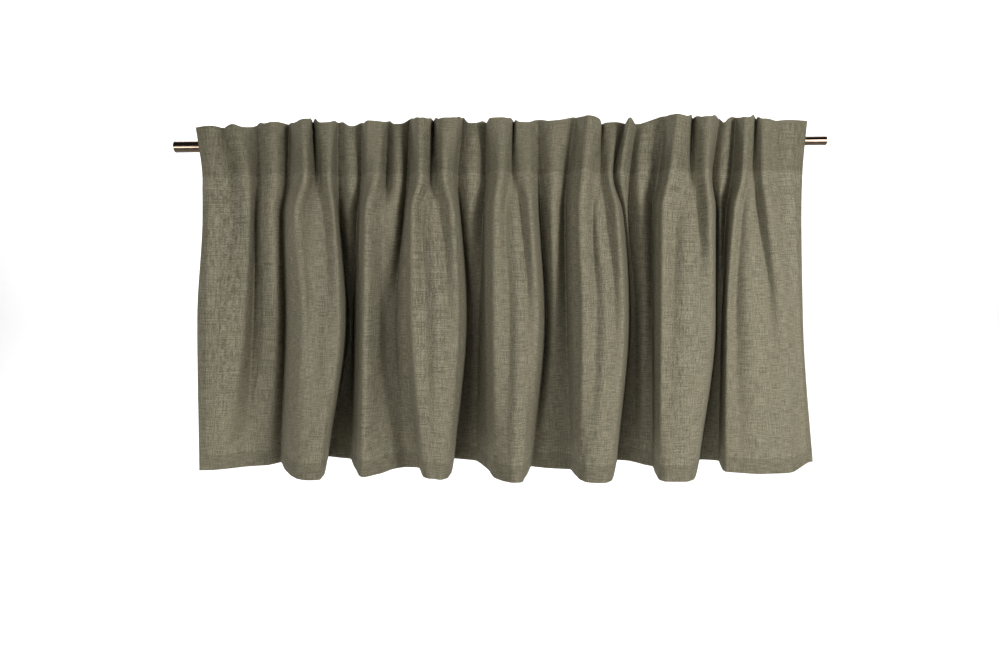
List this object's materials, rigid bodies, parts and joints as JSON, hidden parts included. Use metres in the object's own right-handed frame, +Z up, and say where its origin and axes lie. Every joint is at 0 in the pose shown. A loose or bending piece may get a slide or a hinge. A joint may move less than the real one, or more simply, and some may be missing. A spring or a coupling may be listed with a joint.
{
  "type": "gathered window valance on a telescopic curtain rod",
  "caption": "Linen-look window valance with a standing header and rod pocket, hanging in uneven gathered folds on a plain telescopic curtain rod.",
  "frame": {"origin": "on the rod's axis, half way along the rod", "axes": "+X along the rod to the narrow tube's end, +Z up, and the front of the cloth looks to -Y"},
  "size_m": [0.874, 0.1632, 0.4529],
  "materials": {
    "valance_linen": "green-grey linen-look plain weave with slubs, slightly see-through",
    "rod_steel": "polished"
  },
  "bodies": {
    "root": {"valance_cloth": "valance_linen", "rod_wide_tube": "rod_steel", "rod_narrow_tube": "rod_steel"}
  },
  "joints": []
}
